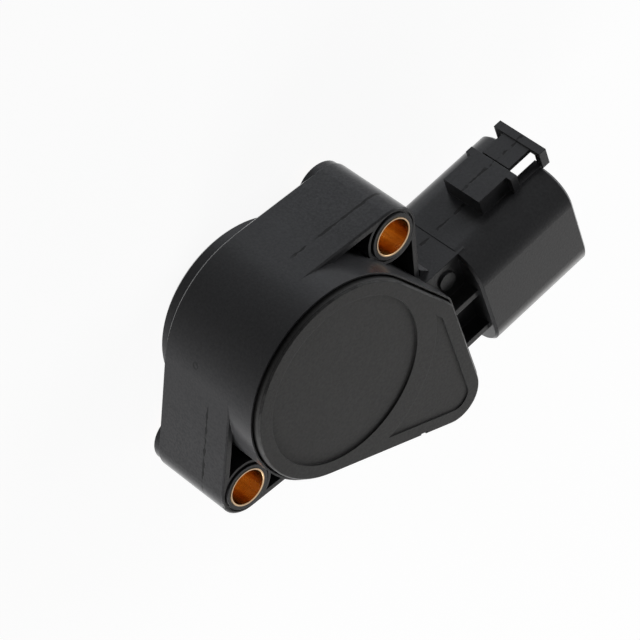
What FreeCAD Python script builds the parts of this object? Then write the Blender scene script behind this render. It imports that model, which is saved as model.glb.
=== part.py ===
import FreeCAD, Part
import math
import os

from FreeCAD import Vector

# Accelerator pedal sensor, millimetres. The turning axis is Z, the drum's rear edge is z = 0, the
# connector points along +X and its latch is on the +Y side.

# Mounting ears and their brass bushings
hole_spacing = 54.0
hole_angle = 29.3
ear_depth = 19.4
ear_r = 5.95
ear_wall = 1.4
ear_floor = 2.0
ear_bevel = 0.3
ear_rear_bevel = 0.7
ear_front_drop = 0.4
upper_ear_side_angle = -13.0
bushing_bore_r = 3.75
bushing_wall = 0.32
bushing_chamfer = 0.08
bushing_fit = 0.02
collar_wall = 0.8
collar_drop = 0.1
collar_groove_width = 0.4
collar_groove_depth = 0.4
rear_pad_r = 5.6
rear_pad_reach = 1.2

# Body: a drum run out to a rounded corner beside the connector
body_height = 26.46
cover_r = 20.95
cover_reach = 26.7
shoulder_angle = 28.5
shoulder_corner_r = 2.5
heel_angle = 241.6
heel_corner_r = 6.2
smallest_corner_r = 0.6
rim_gap = 0.4
rim_wall = 0.4
body_wall = 1.9
back_wall = 2.4
corner_lift = 4.0
drum_rear_bevel = 0.8

# Rear pilot ring and bearing hub
pilot_r = 18.95
pilot_wall = 3.4
pilot_depth = 4.2
pilot_bevel = 0.6
hub_wall = 2.35
hub_rear_wall = 2.1
hub_rear_reach = 3.2

# Front cover
cover_proud = 1.5
cover_edge_depth = 4.0
cover_plate = 2.2
cover_skirt = 1.2
cover_edge_bevel = 0.3
border_width = 3.05
panel_drop = 0.25
panel_arc_r = 22.8
disc_drop = 0.4
gate_place = 24.0
gate_width = 1.6
gate_depth = 0.8
gate_height = 0.6
cover_seal_t = 0.4
cover_seal_width = 0.9
cover_pivot_wall = 1.9
cover_post_r = 1.5
cover_post_circle_r = 14.0
cover_post_angles = (62.0, 150.0, 262.0)

# Connector shroud with its latch
connector_z = 13.2
shroud_top_rise = 3.90
shroud_length = 25.1
shroud_half_y = 13.15
shroud_half_z = 12.55
shroud_corner_r = 6.8
shroud_wall = 2.2
shroud_back_wall = 5.4
shroud_bevel = 0.5
latch_rise = 3.8
latch_setback = 9.85
latch_block_length = 9.0
latch_block_half = 4.9
latch_wing_length = 1.6
latch_half = 6.2
latch_stem_half = 3.55
latch_stem_t = 0.85
latch_stem_drop = 0.25
latch_groove = 0.35
latch_leg_bevel = 0.9
latch_bar_reach = 1.65
latch_bar_length = 1.8
latch_leg_wall = 1.5
latch_slot_half = 4.0
rail_rise = 0.6
rail_half = 6.0

# Neck between the body and the shroud
neck_length = 7.4
neck_half_z = 7.5
neck_drop = 0.1
neck_depth = 22.5
neck_rib_half_z = 10.9
neck_rib_t = 1.3
neck_rib_drops = (9.0, 19.2)
neck_boss_r = 2.0
neck_boss_rise = 0.5
neck_boss_setback = 3.6
neck_boss_drop = 3.9
gusset_t = 3.6
gusset_length = 3.2
gusset_width = 2.9

# Terminals, two rows of three flat blades
terminal_columns = (-1, 0, 1)
terminal_rows = (-1, 1)
column_pitch = 6.0
row_pitch = 6.0
blade_width = 2.8
blade_t = 0.8
blade_tip_bevel = 0.25
blade_recess = 7.0
tail_width = 1.2
tail_reach = 1.0
tail_inset = 1.6
tail_row_step = 2.8
terminal_fit = 0.05
solder_r = 1.1
solder_top_r = 0.85
solder_height = 0.5

# Rotor with its drive socket
journal_r = 6.0
journal_fit = 0.05
rotor_rear_reach = 3.6
rotor_flange_r = 15.8
rotor_flange_t = 2.2
rotor_front_r = 3.6
rotor_pivot_r = 2.5
rotor_pivot_length = 3.6
running_gap = 0.3
socket_r = 4.0
socket_flat = 2.9
socket_depth = 9.0
travel_deg = 75.0
stop_lug_angle = 100.0
stop_lug_half_deg = 6.0
stop_lug_root = 2.8
stop_lug_gap = 1.0
stop_rib_t = 2.4
stop_gap = 0.35
thrust_washer_t = 0.5
axial_play = 0.1

# Shaft seal in the rear end of the hub
seal_width = 1.8
seal_height = 1.7
seal_wall = 0.6
seal_lip_width = 0.4
seal_fit = 0.05
seal_retainer_t = 0.8

# Return spring
spring_mean_r = 11.0
spring_wire_r = 0.6
spring_turns = 3.0
spring_pitch = 1.85
spring_end_gap = 0.3
spring_start_angle = 300.0
spring_leg = 4.5
spring_anchor_height = 2.6
spring_anchor_wall = 1.4
spring_hole_gap = 0.3

# Wipers and the film element
sheet_t = 0.3
wiper_rise = 4.6
wiper_reach = 6.0
wiper_arm_width = 1.2
wiper_arm_insets = (7.4, 4.4)
wiper_base_width = 4.0
wiper_angles = (20.0, 200.0)
film_t = 0.1
film_width = 1.6
film_overrun_deg = 8.0
board_t = 1.0
board_gap = 0.3
board_bore_gap = 0.6
pillar_r = 1.7
pillar_sink = 0.3
pillar_angles = (60.0, 218.0)
heel_pillar_shift = 2.5
pillar_pin_r = 0.9
pillar_pin_reach = 0.7
pillar_pin_gap = 0.1

# Places worked out from the sizes above
bolt_circle_r = hole_spacing / 2
bushing_r = bushing_bore_r + bushing_wall
collar_r = bushing_r + bushing_fit + collar_wall
ear_front_z = ear_depth - ear_front_drop
rim_offset = rim_gap + rim_wall
drum_r = cover_r + rim_offset
chamber_offset = rim_offset - body_wall
chamber_r = cover_r + chamber_offset
rim_front_z = body_height - cover_proud
cover_seat_z = body_height - cover_edge_depth
cover_under_z = body_height - cover_plate
ledge_z = cover_seat_z - cover_seal_t
corner_floor_z = corner_lift + back_wall
bearing_r = journal_r + journal_fit
hub_r = bearing_r + hub_wall
seal_bore_r = bearing_r + seal_width
hub_rear_r = seal_bore_r + hub_rear_wall
spring_height = spring_turns * spring_pitch + 2 * spring_wire_r
hub_top_z = back_wall + spring_height + 2 * spring_end_gap
flange_z = hub_top_z + thrust_washer_t + axial_play
flange_top_z = flange_z + rotor_flange_t
stop_lug_r = chamber_r - stop_lug_gap
wiper_arm_places = [rotor_flange_r - inset for inset in wiper_arm_insets]
wiper_tip_z = flange_top_z + wiper_rise
board_z = wiper_tip_z + running_gap + film_t
board_top_z = board_z + board_t
rotor_shoulder_z = board_top_z + running_gap
pivot_boss_z = rotor_shoulder_z + running_gap
shoulder_turn = math.radians(shoulder_angle)
shoulder_x = cover_reach - shoulder_corner_r
shoulder_y = (cover_r - shoulder_corner_r - shoulder_x * math.cos(shoulder_turn)) / math.sin(shoulder_turn)
shroud_top_y = shoulder_y + shroud_top_rise
shroud_start_x = cover_reach + neck_length
shroud_mouth_x = shroud_start_x + shroud_length
shroud_mid_y = shroud_top_y - shroud_half_y
shroud_back_x = shroud_start_x + shroud_back_wall
latch_top_y = shroud_top_y + latch_rise
latch_block_x = shroud_start_x + latch_setback
latch_block_end_x = latch_block_x + latch_block_length
latch_stem_y = latch_top_y - latch_stem_drop
latch_under_y = latch_stem_y - latch_stem_t
latch_bar_x = shroud_mouth_x + latch_bar_reach - latch_bar_length
wall_x = cover_reach + chamber_offset
neck_start_x = wall_x - body_wall
neck_low_y = shroud_top_y - neck_depth
blade_tip_x = shroud_mouth_x - blade_recess


def place(point, z=0.0):
    """Plan point (x, y) at height z."""
    return Vector(point[0], point[1], z)


def polar(radius, angle_deg, center=(0.0, 0.0)):
    """Plan point at an angle on a circle."""
    angle = math.radians(angle_deg)
    return (center[0] + radius * math.cos(angle), center[1] + radius * math.sin(angle))


def line(start, end):
    return Part.LineSegment(start, end).toShape()


def arc(start, middle, end):
    return Part.Arc(start, middle, end).toShape()


def rod(radius, z_low, z_high, center=(0.0, 0.0)):
    """Upright cylinder between two heights."""
    return Part.makeCylinder(radius, z_high - z_low, place(center, z_low))


def block(x_low, x_high, y_low, y_high, z_low, z_high):
    """Box between its lowest and highest corners."""
    return Part.makeBox(x_high - x_low, y_high - y_low, z_high - z_low, Vector(x_low, y_low, z_low))


def prism(wire, height):
    """Upright solid on a plan outline."""
    return Part.Face(wire).extrude(Vector(0, 0, height))


def turned(shape, angle_deg):
    """Copy of a shape turned about the turning axis."""
    copy = shape.copy()
    copy.rotate(Vector(0, 0, 0), Vector(0, 0, 1), angle_deg)
    return copy


def joined(shapes):
    """One solid from overlapping shapes."""
    return shapes[0].multiFuse(shapes[1:]).removeSplitter()


def revolved(profile):
    """Solid of revolution from (radius, z) points."""
    points = [Vector(radius, 0, z) for radius, z in profile]
    face = Part.Face(Part.makePolygon(points + points[:1]))
    return face.revolve(Vector(0, 0, 0), Vector(0, 0, 1), 360)


def octagon(radius):
    """Corners of a regular eight-sided ring, as (across, along) pairs."""
    corners = [polar(radius, 45 * step + 22.5) for step in range(8)]
    return corners + corners[:1]


def ring_sector(inner_r, outer_r, z_low, z_high, start_deg, sweep_deg):
    """Part of a flat ring between two angles."""
    up = Vector(0, 0, 1)
    foot = Vector(0, 0, z_low)
    outer = Part.makeCylinder(outer_r, z_high - z_low, foot, up, sweep_deg)
    inner = Part.makeCylinder(inner_r, z_high - z_low, foot, up, sweep_deg)
    return turned(outer.cut(inner), start_deg)


def corner_center(angle_deg, radius, corner_r, reach):
    """Center of the rounding between the upright edge x = reach and the tangent at an angle."""
    angle = math.radians(angle_deg)
    x = reach - corner_r
    y = (radius - corner_r - x * math.cos(angle)) / math.sin(angle)
    return (x, y)


def body_outline(offset, z):
    """Cover outline moved outwards by an offset: a circle with two tangents to a rounded corner."""
    radius = cover_r + offset
    reach = cover_reach + offset
    shoulder_r = max(shoulder_corner_r + offset, smallest_corner_r)
    heel_r = max(heel_corner_r + offset, smallest_corner_r)
    shoulder = corner_center(shoulder_angle, radius, shoulder_r, reach)
    heel = corner_center(heel_angle, radius, heel_r, reach)
    circle_start = place(polar(radius, shoulder_angle), z)
    circle_middle = place(polar(radius, (shoulder_angle + heel_angle) / 2), z)
    circle_end = place(polar(radius, heel_angle), z)
    heel_start = place(polar(heel_r, heel_angle, heel), z)
    heel_middle = place(polar(heel_r, (heel_angle + 360) / 2, heel), z)
    heel_end = place((reach, heel[1]), z)
    shoulder_start = place((reach, shoulder[1]), z)
    shoulder_middle = place(polar(shoulder_r, shoulder_angle / 2, shoulder), z)
    shoulder_end = place(polar(shoulder_r, shoulder_angle, shoulder), z)
    return Part.Wire([
        arc(circle_start, circle_middle, circle_end),
        line(circle_end, heel_start),
        arc(heel_start, heel_middle, heel_end),
        line(heel_end, shoulder_start),
        arc(shoulder_start, shoulder_middle, shoulder_end),
        line(shoulder_end, circle_start),
    ])


def body_prism(offset, z_low, z_high):
    return prism(body_outline(offset, z_low), z_high - z_low)


def wall_foot(side_angle, center, radius):
    """Where an ear wall that starts from an ear's round end meets the body's shoulder edge."""
    side = math.radians(side_angle)
    shoulder = math.radians(shoulder_angle)
    wall = center[0] * math.cos(side) + center[1] * math.sin(side) + radius
    edge = drum_r - body_wall / 2
    spread = math.sin(shoulder - side)
    x = (wall * math.sin(shoulder) - edge * math.sin(side)) / spread
    y = (edge * math.cos(side) - wall * math.cos(shoulder)) / spread
    return (x, y)


def ear_outline(angle, inset, z):
    """Plan of one ear: a round end with two straight walls that run into the drum."""
    center = polar(bolt_circle_r, angle)
    radius = ear_r - inset
    spread = math.degrees(math.acos((drum_r - ear_r) / bolt_circle_r))
    left = angle + spread
    right = angle - spread
    right_foot = polar(drum_r - inset, right)
    if angle == hole_angle:
        right = upper_ear_side_angle
        right_foot = wall_foot(right, center, radius)
    left_foot = place(polar(drum_r - inset, left), z)
    right_foot = place(right_foot, z)
    left_end = place(polar(radius, left, center), z)
    right_end = place(polar(radius, right, center), z)
    far_end = place(polar(radius, (left + right) / 2, center), z)
    axis = place((0.0, 0.0), z)
    return Part.Wire([
        line(axis, right_foot),
        line(right_foot, right_end),
        arc(right_end, far_end, left_end),
        line(left_end, left_foot),
        line(left_foot, axis),
    ])


def ear_rim(plate, z):
    """Outer edges of an ear at one height."""
    edges = []
    for edge in plate.Edges:
        middle = edge.valueAt((edge.FirstParameter + edge.LastParameter) / 2)
        if abs(middle.z - z) < ear_bevel / 10 and math.hypot(middle.x, middle.y) > drum_r:
            edges.append(edge)
    return edges


def ear_plate(angle):
    """Solid ear with its front and rear outer edges bevelled."""
    plate = prism(ear_outline(angle, 0.0, 0.0), ear_front_z)
    plate = plate.makeChamfer(ear_bevel, ear_rim(plate, ear_front_z))
    return plate.makeChamfer(ear_rear_bevel, ear_rim(plate, 0.0))


def ear_angles():
    return (hole_angle, hole_angle + 180)


def body_shell():
    """Outside of the drum and its corner, without the chamber."""
    drum = rod(drum_r, 0.0, rim_front_z)
    rear_edge = [edge for edge in drum.Edges if edge.BoundBox.ZMax < drum_rear_bevel]
    drum = drum.makeChamfer(drum_rear_bevel, rear_edge)
    corner = body_prism(rim_offset, corner_lift, rim_front_z)
    return joined([drum, corner])


def ear_pocket(angle, body):
    """Space open to the front beside one ear's round boss."""
    center = polar(bolt_circle_r, angle)
    depth = ear_depth - ear_floor
    space = prism(ear_outline(angle, ear_wall, ear_floor), depth)
    boss = rod(ear_r, 0.0, ear_depth, center)
    return space.cut(boss).cut(body)


def ear_collar(angle):
    """Raised collar that holds one bushing."""
    return rod(collar_r, ear_floor, ear_depth - collar_drop, polar(bolt_circle_r, angle))


def ear_collar_groove(angle):
    center = polar(bolt_circle_r, angle)
    low = ear_front_z - collar_groove_depth
    outer = rod(collar_r + collar_groove_width, low, ear_depth, center)
    return outer.cut(rod(collar_r, low, ear_depth, center))


def shroud_section(x, inset):
    """Rounded square across the connector."""
    half_y = shroud_half_y - inset
    half_z = shroud_half_z - inset
    radius = shroud_corner_r - inset
    slant = radius * (1 - math.sqrt(0.5))

    def corner(side_y, side_z):
        y = shroud_mid_y + side_y * half_y
        z = connector_z + side_z * half_z
        along_y = Vector(x, y - side_y * radius, z)
        along_z = Vector(x, y, z - side_z * radius)
        middle = Vector(x, y - side_y * slant, z - side_z * slant)
        return along_y, middle, along_z

    upper_front = corner(1, 1)
    lower_front = corner(-1, 1)
    lower_back = corner(-1, -1)
    upper_back = corner(1, -1)
    return Part.Wire([
        arc(upper_front[2], upper_front[1], upper_front[0]),
        line(upper_front[0], lower_front[0]),
        arc(lower_front[0], lower_front[1], lower_front[2]),
        line(lower_front[2], lower_back[2]),
        arc(lower_back[2], lower_back[1], lower_back[0]),
        line(lower_back[0], upper_back[0]),
        arc(upper_back[0], upper_back[1], upper_back[2]),
        line(upper_back[2], upper_front[2]),
    ])


def shroud_prism(x_low, x_high, inset):
    return Part.Face(shroud_section(x_low, inset)).extrude(Vector(x_high - x_low, 0, 0))


def shroud_outside():
    """Connector shroud with bevelled end edges."""
    shroud = shroud_prism(shroud_start_x, shroud_mouth_x, 0.0)
    ends = [edge for edge in shroud.Edges if edge.BoundBox.XLength < shroud_bevel]
    return shroud.makeChamfer(shroud_bevel, ends)


def across(x_low, x_high, half_z, y_low, y_high):
    """Box centred on the connector's middle plane."""
    return block(x_low, x_high, y_low, y_high, connector_z - half_z, connector_z + half_z)


def latch_outside():
    """Latch block, its wings, the bridge to the mouth and the bar with two legs."""
    root_y = shroud_top_y - shroud_wall / 2
    wing_x = latch_block_end_x - latch_wing_length
    bar_end_x = latch_bar_x + latch_bar_length
    rail_y = shroud_top_y + rail_rise
    body = across(latch_block_x, latch_block_end_x, latch_block_half, root_y, latch_top_y)
    wings = across(wing_x, latch_block_end_x, latch_half, root_y, latch_top_y)
    stem = across(wing_x, bar_end_x, latch_stem_half, latch_under_y, latch_stem_y)
    rails = across(wing_x, shroud_mouth_x, rail_half, root_y, rail_y)
    bar = across(latch_bar_x, bar_end_x, latch_half, root_y, latch_top_y)
    low_edges = [edge for edge in bar.Edges if edge.BoundBox.YMax < shroud_top_y]
    feet = [edge for edge in low_edges if edge.BoundBox.XLength > latch_leg_wall]
    bar = bar.makeChamfer(latch_leg_bevel, feet)
    under_bar = across(latch_bar_x, bar_end_x, latch_half - latch_leg_wall, root_y, latch_under_y)
    groove_x = latch_block_end_x + latch_groove
    groove = across(latch_block_end_x, groove_x, latch_stem_half, latch_stem_y - latch_groove, latch_stem_y)
    return joined([body, wings, stem.cut(groove), rails, bar.cut(under_bar)])


def latch_slot():
    """Opening through the top wall under the bridge, out through the mouth."""
    low_y = shroud_top_y - shroud_wall - shroud_bevel
    return across(latch_block_end_x, shroud_mouth_x, latch_slot_half, low_y, latch_under_y)


def neck_outside():
    """Core and stiffening ribs between the body and the shroud."""
    end_x = shroud_start_x + shroud_wall
    core = across(neck_start_x, end_x, neck_half_z, neck_low_y, shroud_top_y - neck_drop)
    parts = [core]
    for drop in neck_rib_drops:
        low = shroud_top_y - drop - neck_rib_t / 2
        parts.append(across(wall_x + body_wall / 2, end_x, neck_rib_half_z, low, low + neck_rib_t))
    boss_foot = Vector(cover_reach + neck_boss_setback, shroud_top_y - neck_boss_drop, connector_z)
    parts.append(Part.makeCylinder(neck_boss_r, neck_half_z + neck_boss_rise, boss_foot))
    return joined(parts)


def neck_gusset():
    """Small sloped web between the upper ear's side wall and the top of the neck."""
    center = polar(bolt_circle_r, hole_angle)
    foot = wall_foot(upper_ear_side_angle, center, ear_r - ear_wall / 2)
    corner = Vector(foot[0], shroud_top_y - gusset_width / 2, ear_front_z - gusset_t)
    tip = corner + Vector(gusset_width + gusset_width / 2, 0, 0)
    top = corner + Vector(gusset_width / 2, gusset_length, 0)
    web = Part.Face(Part.makePolygon([corner, tip, top, corner]))
    return web.extrude(Vector(0, 0, gusset_t))


def pillar_places():
    """Centers of the posts that carry the element board, with the floor that each stands on."""
    circle_r = chamber_r + pillar_sink - pillar_r
    places = [(polar(circle_r, angle), back_wall) for angle in pillar_angles]
    heel = corner_center(heel_angle, cover_r, heel_corner_r, cover_reach)
    places.append((polar(heel_pillar_shift, (heel_angle + 360) / 2, heel), corner_floor_z))
    return places


def stop_rib(angle):
    """Radial rib on the chamber wall that stops the rotor's lug."""
    inner_r = rotor_flange_r + running_gap
    half = stop_rib_t / 2
    rib = block(inner_r, chamber_r + pillar_sink, -half, half, back_wall / 2, flange_top_z)
    return turned(rib, angle)


def stop_rib_angles():
    contact_r = (rotor_flange_r + stop_lug_r) / 2
    spare = math.degrees((stop_gap + stop_rib_t / 2) / contact_r)
    start = stop_lug_angle - stop_lug_half_deg - spare
    return (start, stop_lug_angle + travel_deg + stop_lug_half_deg + spare)


def spring_anchor():
    """Two floor lugs with the spring's fixed leg between them."""
    gap = 2 * (spring_wire_r + spring_hole_gap)
    inner_r = spring_mean_r + spring_wire_r + spring_anchor_wall
    outer_r = spring_mean_r + spring_leg
    half = gap / 2 + spring_anchor_wall
    top = back_wall + spring_anchor_height
    lugs = block(inner_r, outer_r, -half, half, back_wall / 2, top)
    slot = block(inner_r, outer_r, -gap / 2, gap / 2, back_wall, top)
    return turned(lugs.cut(slot), spring_start_angle)


def hub_outside():
    """Bearing hub through the back wall, wider at the rear for the seal."""
    front = rod(hub_r, 0.0, hub_top_z)
    rear = rod(hub_rear_r, -hub_rear_reach, back_wall)
    return joined([front, rear])


def terminal_places():
    """Middle (y, z) of each blade with its row."""
    places = []
    for row in terminal_rows:
        for column in terminal_columns:
            y = shroud_mid_y + column * column_pitch
            z = connector_z + row * row_pitch / 2
            places.append((y, z, row))
    return places


def tail_x(row):
    """Outer face of a terminal's upright tail: the lower row reaches further in."""
    step = tail_row_step if row < 0 else 0.0
    return wall_x - tail_inset - step


def make_housing():
    """Moulded body with ears, neck, connector shroud and latch."""
    body = body_shell()
    pilot = rod(pilot_r, -pilot_depth, back_wall)
    rear_edge = [edge for edge in pilot.Edges if edge.BoundBox.ZMax < 0]
    pilot = pilot.makeChamfer(pilot_bevel, rear_edge)
    pilot = pilot.cut(rod(pilot_r - pilot_wall, -pilot_depth, 0.0))
    outside = [body, pilot, neck_outside(), shroud_outside(), latch_outside(), neck_gusset()]
    outside += [ear_plate(angle) for angle in ear_angles()]
    housing = joined(outside)
    for angle in ear_angles():
        center = polar(bolt_circle_r, angle)
        housing = housing.cut(ear_pocket(angle, body))
        housing = housing.fuse(ear_collar(angle)).fuse(rod(rear_pad_r, -rear_pad_reach, ear_floor, center))
        housing = housing.cut(ear_collar_groove(angle))
        housing = housing.cut(rod(bushing_r + bushing_fit, -rear_pad_reach, ear_depth, center))
    chamber = rod(chamber_r, back_wall, rim_front_z)
    corner_chamber = body_prism(chamber_offset, corner_floor_z, rim_front_z)
    seat = body_prism(rim_gap, ledge_z, rim_front_z)
    socket = shroud_prism(shroud_back_x, shroud_mouth_x, shroud_wall)
    housing = housing.cut(joined([chamber, corner_chamber, seat]))
    housing = housing.cut(socket).cut(latch_slot())
    inside = [hub_outside(), spring_anchor()]
    inside += [stop_rib(angle) for angle in stop_rib_angles()]
    for center, floor in pillar_places():
        inside.append(rod(pillar_r, floor - back_wall / 2, board_z, center))
        inside.append(rod(pillar_pin_r, board_z, board_top_z + pillar_pin_reach, center))
    housing = joined([housing] + inside)
    bore = rod(bearing_r, -hub_rear_reach, hub_top_z)
    seal_bore = rod(seal_bore_r, -hub_rear_reach, -hub_rear_reach + seal_retainer_t + seal_room())
    housing = housing.cut(joined([bore, seal_bore]))
    for y, z, row in terminal_places():
        half_y = blade_width / 2 + terminal_fit
        half_z = blade_t / 2 + terminal_fit
        low = (wall_x - body_wall, y - half_y, z - half_z)
        housing = housing.cut(block(low[0], shroud_back_x, low[1], y + half_y, low[2], z + half_z))
    return housing.removeSplitter()


def seal_room():
    """Depth of the seal's groove in the hub."""
    return seal_height + 2 * seal_fit


def gate_notch():
    """Small notch in the cover's lower edge at the moulding gate."""
    low = gate_place - gate_width / 2
    top = body_height - gate_height
    notch = block(cover_r - gate_depth, cover_r, low, low + gate_width, top, body_height)
    return turned(notch, heel_angle)


def make_cover():
    """Lid with a raised border, a panel and a round recessed field."""
    lid = body_prism(0.0, cover_seat_z, body_height)
    front = [edge for edge in lid.Edges if edge.BoundBox.ZMin > body_height - cover_edge_bevel]
    lid = lid.makeChamfer(cover_edge_bevel, front)
    lid = lid.cut(body_prism(-cover_skirt, cover_seat_z, cover_under_z))
    panel = body_prism(-border_width, body_height - panel_drop, body_height)
    panel = panel.cut(rod(panel_arc_r, body_height - panel_drop, body_height))
    disc = rod(cover_r - border_width, body_height - disc_drop, body_height)
    lid = lid.cut(panel).cut(disc).cut(gate_notch())
    parts = [lid, rod(rotor_pivot_r + journal_fit + cover_pivot_wall, pivot_boss_z, cover_under_z)]
    for angle in cover_post_angles:
        parts.append(rod(cover_post_r, board_top_z, cover_under_z, polar(cover_post_circle_r, angle)))
    pivot_bore = rod(rotor_pivot_r + journal_fit, pivot_boss_z, pivot_depth_z())
    return joined(parts).cut(pivot_bore).removeSplitter()


def pivot_depth_z():
    """Bottom of the blind bore that guides the rotor's front pivot."""
    return rotor_shoulder_z + rotor_pivot_length + running_gap


def make_bushing(angle):
    """Brass sleeve through one ear, bevelled inside both ends."""
    end_r = bushing_bore_r + bushing_chamfer
    sleeve = revolved([
        (end_r, -rear_pad_reach),
        (bushing_r, -rear_pad_reach),
        (bushing_r, ear_depth),
        (end_r, ear_depth),
        (bushing_bore_r, ear_depth - bushing_chamfer),
        (bushing_bore_r, bushing_chamfer - rear_pad_reach),
    ])
    sleeve.translate(place(polar(bolt_circle_r, angle)))
    return sleeve


def make_rotor():
    """Journal with a rear drive socket, a flange with a stop lug and a front pivot."""
    spindle = revolved([
        (0.0, -rotor_rear_reach),
        (journal_r, -rotor_rear_reach),
        (journal_r, flange_z),
        (rotor_flange_r, flange_z),
        (rotor_flange_r, flange_top_z),
        (rotor_front_r, flange_top_z),
        (rotor_front_r, rotor_shoulder_z),
        (rotor_pivot_r, rotor_shoulder_z),
        (rotor_pivot_r, rotor_shoulder_z + rotor_pivot_length),
        (0.0, rotor_shoulder_z + rotor_pivot_length),
    ])
    lug_start = stop_lug_angle - stop_lug_half_deg
    lug_root_r = rotor_flange_r - stop_lug_root
    lug = ring_sector(lug_root_r, stop_lug_r, flange_z, flange_top_z, lug_start, 2 * stop_lug_half_deg)
    rotor = joined([spindle, lug])
    socket_end_z = socket_depth - rotor_rear_reach
    socket = rod(socket_r, -rotor_rear_reach, socket_end_z)
    flat = block(socket_flat, socket_r, -socket_r, socket_r, -rotor_rear_reach, socket_end_z)
    spring_hole = rod(spring_wire_r + spring_hole_gap, flange_z, flange_top_z, spring_leg_place())
    return rotor.cut(socket.cut(flat)).cut(spring_hole).removeSplitter()


def make_thrust_washer():
    washer = rod(hub_r, hub_top_z, hub_top_z + thrust_washer_t)
    return washer.cut(rod(bearing_r, hub_top_z, hub_top_z + thrust_washer_t))


def make_shaft_seal():
    """Rubber ring in the hub with a lip on the journal."""
    outer_r = seal_bore_r - seal_fit
    low = -hub_rear_reach + seal_retainer_t + seal_fit
    high = low + seal_height
    lip_low = (low + high - seal_lip_width) / 2
    return revolved([
        (outer_r, low),
        (outer_r, high),
        (outer_r - seal_wall, high),
        (bearing_r, lip_low + seal_lip_width),
        (bearing_r, lip_low),
        (outer_r - seal_wall, low),
    ])


def make_seal_retainer():
    """Flat ring pressed into the rear end of the hub behind the seal."""
    low = -hub_rear_reach
    ring = rod(seal_bore_r, low, low + seal_retainer_t)
    return ring.cut(rod(bearing_r + running_gap, low, low + seal_retainer_t))


def spring_leg_place():
    """Where the spring's upright leg meets the rotor's flange."""
    return polar(spring_mean_r, spring_start_angle + 360 * spring_turns)


def make_return_spring():
    """Torsion coil with a radial leg below and an upright leg above."""
    low = back_wall + spring_end_gap + spring_wire_r
    coil_height = spring_turns * spring_pitch
    helix = Part.makeHelix(spring_pitch, coil_height, spring_mean_r)
    section = [Vector(spring_mean_r + across_r, 0, rise) for across_r, rise in octagon(spring_wire_r)]
    coil = Part.Wire(helix.Edges).makePipeShell([Part.makePolygon(section)], True, True)
    coil.translate(Vector(0, 0, low))
    coil = turned(coil, spring_start_angle)
    fixed_leg = Part.makeCylinder(spring_wire_r, spring_leg, Vector(spring_mean_r, 0, low), Vector(1, 0, 0))
    upright_leg = rod(spring_wire_r, low + coil_height, flange_top_z, spring_leg_place())
    return joined([coil, turned(fixed_leg, spring_start_angle), upright_leg])


def make_wiper(angle):
    """Stamped contact with a base on the rotor's flange and two sprung arms."""
    low = flange_top_z
    half = wiper_base_width / 2
    inner_r = wiper_arm_places[0] - wiper_arm_width / 2
    outer_r = wiper_arm_places[-1] + wiper_arm_width / 2
    parts = [block(inner_r, outer_r, -half, half, low, low + sheet_t)]
    tip_drop = sheet_t / 2
    for arm_r in wiper_arm_places:
        x = arm_r - wiper_arm_width / 2
        profile = [
            Vector(x, half - sheet_t, low),
            Vector(x, half, low),
            Vector(x, wiper_reach, wiper_tip_z - sheet_t),
            Vector(x, wiper_reach + half / 2, wiper_tip_z - sheet_t - tip_drop),
            Vector(x, wiper_reach + half / 2, wiper_tip_z - tip_drop),
            Vector(x, wiper_reach, wiper_tip_z),
            Vector(x, half - sheet_t, low + sheet_t),
        ]
        side = Part.Face(Part.makePolygon(profile + profile[:1]))
        parts.append(side.extrude(Vector(wiper_arm_width, 0, 0)))
    return turned(joined(parts), angle)


def make_film_tracks():
    """Printed arcs on the board's rear face, one over each wiper arm's path."""
    tracks = []
    for angle in wiper_angles:
        for arm_r in wiper_arm_places:
            track_r = math.hypot(arm_r, wiper_reach)
            tip_angle = angle + math.degrees(math.atan2(wiper_reach, arm_r))
            start = tip_angle - film_overrun_deg
            sweep = travel_deg + 2 * film_overrun_deg
            inner_r = track_r - film_width / 2
            tracks.append(ring_sector(inner_r, inner_r + film_width, board_z - film_t, board_z, start, sweep))
    return Part.makeCompound(tracks)


def make_element_board():
    """Carrier board with holes for the rotor, the posts and the terminal tails."""
    board = body_prism(chamber_offset - board_gap, board_z, board_top_z)
    board = board.cut(rod(rotor_front_r + board_bore_gap, board_z, board_top_z))
    for center, floor in pillar_places():
        board = board.cut(rod(pillar_pin_r + pillar_pin_gap, board_z, board_top_z, center))
    for y, z, row in terminal_places():
        x = tail_x(row)
        inner_x = x - blade_t - terminal_fit
        half = tail_width / 2 + terminal_fit
        board = board.cut(block(inner_x, x + terminal_fit, y - half, y + half, board_z, board_top_z))
    return board


def make_terminal(y, z, row):
    """Flat blade that bends up inside the body into a narrow tail."""
    half = blade_width / 2
    low = z - blade_t / 2
    x = tail_x(row)
    blade = block(x - blade_t, blade_tip_x, y - half, y + half, low, low + blade_t)
    tip = [edge for edge in blade.Edges if edge.BoundBox.XMin > blade_tip_x - blade_tip_bevel]
    blade = blade.makeChamfer(blade_tip_bevel, tip)
    tail_half = tail_width / 2
    tail = block(x - blade_t, x, y - tail_half, y + tail_half, low, board_top_z + tail_reach)
    return joined([blade, tail])


def make_solder_joints():
    """Solder mounds round the terminal tails on the board's front face."""
    mounds = []
    for y, z, row in terminal_places():
        x = tail_x(row)
        half = tail_width / 2
        middle = Vector(x - blade_t / 2, y, board_top_z)
        top = middle + Vector(0, 0, solder_height)
        foot_ring = Part.makePolygon([middle + place(corner) for corner in octagon(solder_r)])
        top_ring = Part.makePolygon([top + place(corner) for corner in octagon(solder_top_r)])
        mound = Part.makeLoft([foot_ring, top_ring], True)
        tail = block(x - blade_t, x, y - half, y + half, board_top_z, board_top_z + solder_height)
        mounds.append(mound.cut(tail))
    return Part.makeCompound(mounds)


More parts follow.
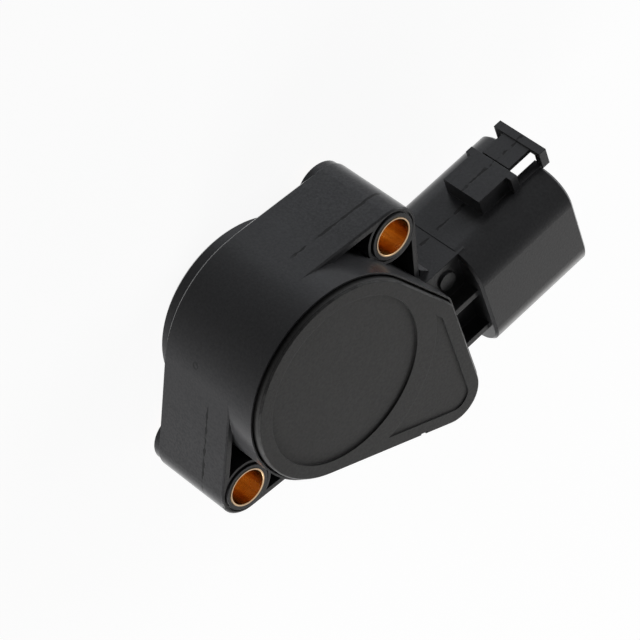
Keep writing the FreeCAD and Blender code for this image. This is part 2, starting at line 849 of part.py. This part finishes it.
def make_cover_seal():
    """Flat gasket between the body's ledge and the cover's skirt."""
    outer = body_prism(0.0, ledge_z, cover_seat_z)
    return outer.cut(body_prism(-cover_seal_width, ledge_z, cover_seat_z))


def main():
    os.makedirs("parts", exist_ok=True)
    upper_angle, lower_angle = ear_angles()
    pieces = {
        "housing": make_housing(),
        "front_cover": make_cover(),
        "cover_seal": make_cover_seal(),
        "upper_bushing": make_bushing(upper_angle),
        "lower_bushing": make_bushing(lower_angle),
        "rotor": make_rotor(),
        "thrust_washer": make_thrust_washer(),
        "shaft_seal": make_shaft_seal(),
        "seal_retainer": make_seal_retainer(),
        "return_spring": make_return_spring(),
        "throttle_wiper": make_wiper(wiper_angles[0]),
        "idle_wiper": make_wiper(wiper_angles[1]),
        "film_tracks": make_film_tracks(),
        "element_board": make_element_board(),
        "solder_joints": make_solder_joints(),
    }
    for number, (y, z, row) in enumerate(terminal_places(), start=1):
        pieces["terminal_%d" % number] = make_terminal(y, z, row)
    for name, shape in pieces.items():
        shape.exportStep("parts/%s.step" % name)


main()
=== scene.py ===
import math
import bmesh
import bpy
from mathutils import Matrix, Vector


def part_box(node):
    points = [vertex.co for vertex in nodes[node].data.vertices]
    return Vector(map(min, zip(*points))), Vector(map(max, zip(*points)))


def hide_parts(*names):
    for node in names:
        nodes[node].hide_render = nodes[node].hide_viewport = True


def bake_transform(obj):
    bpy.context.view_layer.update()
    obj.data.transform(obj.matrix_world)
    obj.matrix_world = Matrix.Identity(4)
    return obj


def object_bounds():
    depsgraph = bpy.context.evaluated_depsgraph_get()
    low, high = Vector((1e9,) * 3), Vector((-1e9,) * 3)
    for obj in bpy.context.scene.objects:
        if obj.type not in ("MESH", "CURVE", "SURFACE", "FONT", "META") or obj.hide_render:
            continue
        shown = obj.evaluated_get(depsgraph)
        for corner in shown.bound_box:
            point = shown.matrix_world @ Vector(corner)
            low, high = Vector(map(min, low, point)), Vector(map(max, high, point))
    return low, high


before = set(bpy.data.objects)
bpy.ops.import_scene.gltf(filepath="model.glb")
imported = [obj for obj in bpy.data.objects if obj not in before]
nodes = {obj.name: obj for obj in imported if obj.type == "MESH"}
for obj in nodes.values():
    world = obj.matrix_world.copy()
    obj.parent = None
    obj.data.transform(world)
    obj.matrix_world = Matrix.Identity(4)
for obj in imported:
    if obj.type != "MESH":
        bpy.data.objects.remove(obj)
cad_bounds = [list(corner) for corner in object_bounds()]

# Places and lengths on the part, in metres
edge_r = 0.00016
drum_r = 0.02175
cover_z = 0.02646
parting_z = 0.0133
scuff_place = (-0.0186, 0.0113, 0.0091)
scuff_r = 0.0006

# Noises, as scale and detail
smooth_grain = (2600.0, 2.0)
moulded_grain = (1900.0, 2.0)
eroded_grain = (1900.0, 3.0)
drawn_grain = (1800.0, 3.0)
moulded_clouds = (90.0, 3.0)
eroded_clouds = (110.0, 4.0)
metal_stains = (260.0, 4.0)
sleeve_streaks = (900.0, 2.0)
sleeve_stains = (300.0, 3.0)
line_bends = (800.0, 2.0)
line_gaps = (240.0, 2.0)
line_dashes = (580.0, 1.0)
line_swells = (650.0, 1.0)
scuff_frays = (1500.0, 2.0)
cover_wear = (380.0, 3.0)

# Plastic finish; the skin's range runs from 0 face-on to 1 edge-on
plastic_gloss = 0.12
skin_gloss = 0.7
skin_roughness = 0.3
skin_range = (0.5, 0.9)
edge_samples = 6
relief_strength = 0.35
relief_depth = 0.00006
speckle_range = (0.3, 0.7)
speckle_share = 0.6
cloud_share = 0.4
cloud_roughness = 0.12
# Near-black for the parting line, scuffs and worn edges, and for painted shade on the cover's walls
mark_and_shade_black = (0.004, 0.004, 0.004)

# Metal finish
metal_relief_strength = 0.12
metal_relief_depth = 0.00005


class Shade:
    """A shader value with Python arithmetic; make() adds any other node to the same material."""

    def __init__(self, tree, socket=None):
        self.tree = tree
        self.socket = socket

    def make(self, kind, settings, sockets, output=0):
        node = self.tree.nodes.new(kind)
        for name, value in settings.items():
            setattr(node, name, value)
        for key, value in sockets.items():
            if isinstance(value, Shade):
                self.tree.links.new(value.socket, node.inputs[key])
            else:
                node.inputs[key].default_value = value
        return Shade(self.tree, node.outputs[output] if node.outputs else None)

    def math(self, operation, *values):
        return self.make("ShaderNodeMath", {"operation": operation}, dict(enumerate(values)))

    def __add__(self, other):
        return self.math("ADD", self, other)

    def __sub__(self, other):
        return self.math("SUBTRACT", self, other)

    def __rsub__(self, other):
        return self.math("SUBTRACT", other, self)

    def __mul__(self, other):
        return self.math("MULTIPLY", self, other)

    def __abs__(self):
        return self.math("ABSOLUTE", self)

    def root(self):
        return self.math("SQRT", self)

    def larger(self, other):
        return self.math("MAXIMUM", self, other)

    __radd__ = __add__
    __rmul__ = __mul__


def new_material(name):
    """Empty node material with a start value for its shader."""
    material = bpy.data.materials.new(name)
    material.use_nodes = True
    material.node_tree.nodes.clear()
    return material, Shade(material.node_tree)


def noise(place, scale, detail):
    """Smooth noise about 0.5, finer with a larger scale."""
    inputs = {"Vector": place, "Scale": scale, "Detail": detail}
    return place.make("ShaderNodeTexNoise", {}, inputs)


def swing(pattern, reach):
    """A pattern about 0.5, turned into a swing to both sides of 0."""
    return (pattern - 0.5) * reach


def ramp(value, start, end):
    """0 before a value's start, 1 past its end, straight between; also downwards."""
    inputs = {"Value": value, "From Min": start, "From Max": end, "To Min": 0.0, "To Max": 1.0}
    return value.make("ShaderNodeMapRange", {}, inputs)


def opaque(colour):
    return colour if isinstance(colour, Shade) else colour + (1.0,)


def blended(low, high, share):
    """Colour between two colours."""
    inputs = {"Factor": share, "A": opaque(low), "B": opaque(high)}
    return share.make("ShaderNodeMix", {"data_type": "RGBA"}, inputs, "Result")


def object_place(shade):
    return shade.make("ShaderNodeTexCoord", {}, {}, "Object")


def object_normal(shade):
    return shade.make("ShaderNodeTexCoord", {}, {}, "Normal")


def along(vector, axis):
    """One coordinate of a vector."""
    return vector.make("ShaderNodeSeparateXYZ", {}, {"Vector": vector}, axis)


# Plastics
def mottle(grain, cloud):
    """Share of the lighter colour: a fine speckle over faint clouds."""
    return ramp(grain, *speckle_range) * speckle_share + cloud * cloud_share


def clouded(roughness, cloud):
    return roughness + swing(cloud, cloud_roughness)


def finish_plastic(shade, colour, relief, roughness):
    """Plastic with softened edges, a shallow relief and a skin that shines at grazing angles."""
    rounded = shade.make("ShaderNodeBevel", {"samples": edge_samples}, {"Radius": edge_r})
    raised = shade.make("ShaderNodeBump", {}, {
        "Strength": relief_strength,
        "Distance": relief_depth,
        "Height": relief,
        "Normal": rounded,
    })
    turned_away = shade.make("ShaderNodeLayerWeight", {}, {"Blend": 0.5}, "Facing")
    surface = shade.make("ShaderNodeBsdfPrincipled", {}, {
        "Base Color": colour,
        "Roughness": roughness,
        "Specular IOR Level": plastic_gloss,
        "Coat Weight": ramp(turned_away, *skin_range) * skin_gloss,
        "Coat Roughness": skin_roughness,
        "Normal": raised,
    })
    shade.make("ShaderNodeOutputMaterial", {}, {"Surface": surface})


def plastic(name, dark, light, roughness):
    """Plain moulded plastic with a fine grain and faint cloudiness."""
    material, shade = new_material(name)
    place = object_place(shade)
    grain = noise(place, *smooth_grain)
    cloud = noise(place, *moulded_clouds)
    colour = blended(dark, light, mottle(grain, cloud))
    finish_plastic(shade, colour, grain, clouded(roughness, cloud))
    return material


def parting_line(shade, place, beyond_drum, on_shroud):
    """Share of the ragged parting line, broken near the drum and dashed on the latch side."""
    bend_reach = 0.0004
    gap_range = (0.42, 0.5)
    fewer_gaps = 0.14
    drum_fade = (0.0, 0.08)
    latch_facing = (0.3, 0.6)
    swell = 0.0008
    thinnest = 0.00016
    line_edge = (0.00006, -0.00004)
    offset = along(place, "Z") - parting_z + swing(noise(place, *line_bends), bend_reach)
    unbroken = ramp(noise(place, *line_gaps) + beyond_drum * fewer_gaps, *gap_range)
    latch_side = ramp(along(object_normal(shade), "Y"), *latch_facing)
    dashes = ramp(noise(place, *line_dashes), *gap_range) * latch_side
    shown = unbroken * ramp(beyond_drum, *drum_fade) * (1.0 - on_shroud * (1.0 - dashes))
    half_width = noise(place, *line_swells) * swell - thinnest
    return ramp(abs(offset) - half_width, *line_edge) * shown


def scuff_ring(place):
    """Share of the small ring-shaped scuff on the drum's wall."""
    fray = 0.0008
    ring_edge = (0.0003, 0.0001)
    measure = {"operation": "DISTANCE"}
    away = place.make("ShaderNodeVectorMath", measure, {0: place, 1: scuff_place}, "Value")
    return ramp(abs(away - scuff_r) + swing(noise(place, *scuff_frays), fray), *ring_edge)


def housing_plastic(name, dark, light, roughness):
    """Moulded plastic with a parting line, a small scuff and a stronger grain on the ears."""
    ear_start = drum_r + 0.0001
    ear_full = drum_r + 0.004
    shroud_range = (0.028, 0.032)
    line_darkness = 0.9
    scuff_darkness = 0.4
    ear_speckle = 1.1
    ear_relief = 0.6
    material, shade = new_material(name)
    place = object_place(shade)
    grain = noise(place, *moulded_grain)
    cloud = noise(place, *moulded_clouds)
    x = along(place, "X")
    y = along(place, "Y")
    beyond_drum = ramp((x * x + y * y).root(), ear_start, ear_full)
    on_shroud = ramp(x, *shroud_range)
    on_ears = beyond_drum * (1.0 - on_shroud)
    line = parting_line(shade, place, beyond_drum, on_shroud)
    scuff = scuff_ring(place)
    speckle = swing(mottle(grain, cloud), on_ears * ear_speckle + 1.0) + 0.5
    darkness = (line * line_darkness).larger(scuff * scuff_darkness)
    colour = blended(blended(dark, light, speckle), mark_and_shade_black, darkness)
    relief = grain * (on_ears * ear_relief + 1.0) - line - scuff
    finish_plastic(shade, colour, relief, clouded(roughness, cloud))
    return material


def cover_plastic(name, dark, light, roughness):
    """Spark-eroded plastic with painted shade on its steps and low on the outer wall, scuffed along
    the edge.
    """
    wall_facing = (0.5, 0.3)
    low_wall_range = (cover_z - 0.0009, cover_z - 0.0013)
    high_wall_range = (cover_z - 0.00045, cover_z - 0.0004)
    edge_facing_top = (0.92, 0.86)
    edge_facing_wall = (0.5, 0.6)
    worn_range = (0.47, 0.6)
    edge_darkness = 0.8
    shade_and_wear_darkness = 0.85
    material, shade = new_material(name)
    place = object_place(shade)
    grain = noise(place, *eroded_grain)
    cloud = noise(place, *eroded_clouds)
    z = along(place, "Z")
    facing = along(object_normal(shade), "Z")
    # Painted shade: steep walls near the top face (the steps of the disc and panel) and low on the
    # outer wall beside the rim are darkened
    wall = ramp(facing, *wall_facing)
    lower_wall_painted_shade = wall * ramp(z, *low_wall_range)
    upper_wall_painted_shade = wall * ramp(z, *high_wall_range)
    edge = ramp(facing, *edge_facing_top) * ramp(facing, *edge_facing_wall)
    worn_edge = edge * ramp(noise(place, *cover_wear), *worn_range)
    # The darkness is painted shade on the walls and real wear along the edge
    darkness = lower_wall_painted_shade.larger(upper_wall_painted_shade.larger(worn_edge * edge_darkness)) * shade_and_wear_darkness
    colour = blended(blended(dark, light, mottle(grain, cloud)), mark_and_shade_black, darkness)
    finish_plastic(shade, colour, grain, clouded(roughness, cloud))
    return material


# Metals
def finish_metal(shade, colour, relief, roughness):
    """Bare metal with a shallow relief."""
    raised = shade.make("ShaderNodeBump", {}, {
        "Strength": metal_relief_strength,
        "Distance": metal_relief_depth,
        "Height": relief,
    })
    surface = shade.make("ShaderNodeBsdfPrincipled", {}, {
        "Base Color": colour,
        "Metallic": 1.0,
        "Roughness": roughness,
        "Normal": raised,
    })
    shade.make("ShaderNodeOutputMaterial", {}, {"Surface": surface})


def metal(name, dark, light, roughness):
    """Plain metal with a faint drawn grain and small stains."""
    grain_share = 0.4
    stain_share = 0.6
    stain_roughness = 0.25
    material, shade = new_material(name)
    place = object_place(shade)
    grain = noise(place, *drawn_grain)
    stain = noise(place, *metal_stains)
    colour = blended(dark, light, grain * grain_share + stain * stain_share)
    finish_metal(shade, colour, grain, roughness + swing(stain, stain_roughness))
    return material


def sleeve_brass(name, dark, light, end_tone):
    """Drawn brass: streaks along the bore and paler, duller end faces."""
    stretch = (1.0, 1.0, 0.08)
    streak_share = 0.7
    stain_share = 0.3
    tone_range = (0.35, 0.65)
    end_facing = (0.5, 0.8)
    bore_roughness = 0.24
    stain_roughness = 0.2
    end_roughness = 0.25
    material, shade = new_material(name)
    place = object_place(shade)
    drawn = shade.make("ShaderNodeMapping", {}, {"Vector": place, "Scale": stretch})
    streak = noise(drawn, *sleeve_streaks)
    stain = noise(place, *sleeve_stains)
    end = ramp(abs(along(object_normal(shade), "Z")), *end_facing)
    tone = ramp(streak * streak_share + stain * stain_share, *tone_range)
    colour = blended(blended(dark, light, tone), end_tone, end)
    roughness = bore_roughness + swing(stain, stain_roughness) + end * end_roughness
    finish_metal(shade, colour, streak, roughness)
    return material


# Looks of the pieces: darker and lighter colour, roughness
housing_look = housing_plastic("housing_black", (0.034, 0.034, 0.036), (0.052, 0.052, 0.054), 0.3)
cover_look = cover_plastic("cover_black", (0.034, 0.034, 0.034), (0.064, 0.063, 0.062), 0.55)
inner_look = plastic("rotor_grey", (0.04, 0.04, 0.042), (0.06, 0.06, 0.062), 0.5)
rubber_look = plastic("seal_black", (0.012, 0.012, 0.012), (0.02, 0.02, 0.02), 0.7)
washer_look = plastic("washer_white", (0.68, 0.67, 0.63), (0.78, 0.77, 0.73), 0.35)
film_look = plastic("film_carbon", (0.012, 0.012, 0.014), (0.022, 0.022, 0.026), 0.4)
board_look = plastic("board_brown", (0.13, 0.08, 0.04), (0.19, 0.12, 0.06), 0.5)
contact_look = metal("contact_bronze", (0.62, 0.45, 0.2), (0.82, 0.64, 0.34), 0.3)
steel_look = metal("spring_steel", (0.45, 0.45, 0.46), (0.62, 0.62, 0.63), 0.3)
tin_look = metal("terminal_tin", (0.58, 0.57, 0.54), (0.74, 0.73, 0.7), 0.35)
# The brass has the colour of its end faces last
brass_look = sleeve_brass("bushing_brass", (0.56, 0.3, 0.08), (0.92, 0.64, 0.28), (0.4, 0.29, 0.19))

# The nodes not named here are the terminals and their solder joints
looks = {
    "housing": housing_look,
    "front_cover": cover_look,
    "cover_seal": rubber_look,
    "upper_bushing": brass_look,
    "lower_bushing": brass_look,
    "rotor": inner_look,
    "thrust_washer": washer_look,
    "shaft_seal": rubber_look,
    "seal_retainer": inner_look,
    "return_spring": steel_look,
    "throttle_wiper": contact_look,
    "idle_wiper": contact_look,
    "film_tracks": film_look,
    "element_board": board_look,
}
for name, node in nodes.items():
    node.data.materials.clear()
    node.data.materials.append(looks.get(name, tin_look))


# Return spring, lengths in metres
spring_r = 0.011
spring_wire_r = 0.0006
spring_turns = 3.0
spring_pitch = 0.00185
spring_leg = 0.0045
spring_start = math.radians(300.0)
leg_bend_r = 0.001


def loop_edges(geometry):
    return [item for item in geometry if isinstance(item, bmesh.types.BMEdge)]


def loop_points(edges):
    return list({point for edge in edges for point in edge.verts})


def drawn_straight(wire, loop, shift):
    """Draws the wire's end loop out along a line."""
    made = bmesh.ops.extrude_edge_only(wire, edges=loop)["geom"]
    points = {item for item in made if isinstance(item, bmesh.types.BMVert)}
    bmesh.ops.translate(wire, verts=list(points), vec=shift)
    return [edge for edge in loop_edges(made) if points.issuperset(edge.verts)]


def drawn_round(wire, loop, centre, axis, angle, steps, rise):
    """Draws the wire's end loop out round an axis, with a rise over the whole way."""
    path = {"cent": centre, "axis": axis, "angle": angle, "steps": steps}
    path["dvec"] = (0.0, 0.0, rise / steps)
    drawn = loop_points(loop) + loop
    made = bmesh.ops.spin(wire, geom=drawn, use_merge=False, use_duplicate=False, **path)
    return loop_edges(made["geom_last"])


def wound_spring(name):
    """Torsion spring of round wire: a radial leg, the coil and an upright leg in the rotor."""
    wire_sides = 12
    bend_steps = 6
    coil_steps = 132
    origin = (0.0, 0.0, 0.0)
    upward = (0.0, 0.0, 1.0)
    quarter = math.pi / 2
    lowest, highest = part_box("return_spring")
    low = lowest[2] + spring_wire_r
    leg_end = Vector((spring_r + spring_leg, 0.0, low))
    bend_start = math.sqrt(spring_r * spring_r + 2 * spring_r * leg_bend_r)
    coil_start = math.asin(leg_bend_r / (spring_r + leg_bend_r))
    coil_stop = leg_bend_r / spring_r
    coil_angle = 2 * math.pi * spring_turns - coil_start - coil_stop
    coil_rise = spring_turns * spring_pitch
    bend_centre = (bend_start, leg_bend_r, low)
    outward = Vector((math.cos(coil_stop), -math.sin(coil_stop), 0.0))
    top_centre = outward * spring_r + Vector((0.0, 0.0, low + coil_rise + leg_bend_r))
    wire = bmesh.new()
    ring = {"segments": wire_sides, "radius": spring_wire_r}
    ring["matrix"] = Matrix.Translation(leg_end) @ Matrix.Rotation(quarter, 4, "Y")
    bmesh.ops.create_circle(wire, cap_ends=True, **ring)
    loop = list(wire.edges)
    loop = drawn_straight(wire, loop, (bend_start - leg_end.x, 0.0, 0.0))
    loop = drawn_round(wire, loop, bend_centre, upward, coil_start - quarter, bend_steps, 0.0)
    loop = drawn_round(wire, loop, origin, upward, coil_angle, coil_steps, coil_rise)
    loop = drawn_round(wire, loop, top_centre, outward, quarter, bend_steps, 0.0)
    loop = drawn_straight(wire, loop, (0.0, 0.0, highest[2] - top_centre.z))
    bmesh.ops.edgeloop_fill(wire, edges=loop)
    turned = Matrix.Rotation(spring_start, 3, "Z")
    bmesh.ops.rotate(wire, verts=list(wire.verts), cent=origin, matrix=turned)
    bmesh.ops.recalc_face_normals(wire, faces=list(wire.faces))
    for face in wire.faces:
        face.smooth = len(face.verts) == 4
    mesh = bpy.data.meshes.new(name)
    wire.to_mesh(mesh)
    wire.free()
    spring = bpy.data.objects.new(name, mesh)
    bpy.context.scene.collection.objects.link(spring)
    mesh.materials.append(steel_look)
    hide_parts("return_spring")
    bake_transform(spring)


wound_spring("return_spring_wire")


# Floor and background
def white_to_camera(shade):
    """1 on rays that show the background itself: seen directly, mirrored or through glass."""
    seen = shade.make("ShaderNodeLightPath", {}, {}, "Is Camera Ray")
    mirrored = shade.make("ShaderNodeLightPath", {}, {}, "Is Glossy Ray")
    through = shade.make("ShaderNodeLightPath", {}, {}, "Is Transmission Ray")
    return seen.larger(mirrored.larger(through))


pure_white = (1.0, 1.0, 1.0, 1.0)
floor_tone = (0.75, 0.75, 0.75, 1.0)
floor_glow = 1.15
floor_glow_share = 0.8
floor_gap = 0.0002
floor_reach = 3.0
ambient_strength = 0.03
white_strength = 1.0

floor_mesh = bpy.data.meshes.new("floor")
floor_z = cad_bounds[0][2] - floor_gap
corner_signs = ((-1, -1), (1, -1), (1, 1), (-1, 1))
corners = [(x * floor_reach, y * floor_reach, floor_z) for x, y in corner_signs]
floor_mesh.from_pydata(corners, [], [(0, 1, 2, 3)])
floor = bpy.data.objects.new("floor", floor_mesh)
bpy.context.scene.collection.objects.link(floor)
floor_material, shade = new_material("floor_white")
matt = shade.make("ShaderNodeBsdfDiffuse", {}, {"Color": floor_tone})
glow = shade.make("ShaderNodeEmission", {}, {"Color": pure_white, "Strength": floor_glow})
glow_share = white_to_camera(shade) * floor_glow_share
mixed = shade.make("ShaderNodeMixShader", {}, {0: glow_share, 1: matt, 2: glow})
shade.make("ShaderNodeOutputMaterial", {}, {"Surface": mixed})
floor_mesh.materials.append(floor_material)
# A shooting table: the lamp under it shines through
floor.visible_shadow = False

world = bpy.data.worlds.new("studio")
bpy.context.scene.world = world
world.use_nodes = True
world.node_tree.nodes.clear()
sky = Shade(world.node_tree)
ambient_inputs = {"Color": pure_white, "Strength": ambient_strength}
ambient = sky.make("ShaderNodeBackground", {}, ambient_inputs)
white = sky.make("ShaderNodeBackground", {}, {"Color": pure_white, "Strength": white_strength})
backdrop = sky.make("ShaderNodeMixShader", {}, {0: white_to_camera(sky), 1: ambient, 2: white})
sky.make("ShaderNodeOutputWorld", {}, {"Surface": backdrop})


# Lamps
lamp_distance = 0.5
lamp_aim = Vector((0.012, -0.006, 0.011))


def lamp(name, turn_deg, rise_deg, size, power, colour):
    """Soft square lamp that shines at the part's middle, from a turn round Z and a rise."""
    light = bpy.data.lights.new(name, "AREA")
    light.size = size
    light.energy = power
    light.color = colour
    turn = math.radians(turn_deg)
    rise = math.radians(rise_deg)
    flat = math.cos(rise)
    away = Vector((math.cos(turn) * flat, math.sin(turn) * flat, math.sin(rise)))
    aimed = away.to_track_quat("Z", "Y").to_matrix().to_4x4()
    holder = bpy.data.objects.new(name, light)
    holder.matrix_world = Matrix.Translation(lamp_aim + away * lamp_distance) @ aimed
    bpy.context.scene.collection.objects.link(holder)


lamp("under", 43, -48, 0.3, 0.94, (0.9, 0.94, 1.0))
lamp("right", 10, 10, 0.3, 1.6, (0.96, 0.98, 1.0))
lamp("low", 215, 3, 0.3, 3.4, (1.0, 1.0, 1.0))
lamp("far", 298, 9, 0.6, 1.2, (1.0, 0.98, 0.95))

# Camera at the photograph's angle
right = Vector((0.70835, -0.24309, 0.66268))
up = Vector((0.64564, 0.60257, -0.46911))
back = Vector((-0.28527, 0.76014, 0.58378))
eye = Vector((-0.18153, 0.502067, 0.397515))
camera_data = bpy.data.cameras.new("camera")
camera_data.sensor_width = 36.0
camera_data.lens = 199.01
camera_data.clip_end = 20.0
camera = bpy.data.objects.new("camera", camera_data)
view_turn = Matrix((right, up, back)).transposed()
camera.matrix_world = Matrix.Translation(eye) @ view_turn.to_4x4()
bpy.context.scene.collection.objects.link(camera)
bpy.context.scene.camera = camera

bpy.context.scene.view_settings.view_transform = "Standard"
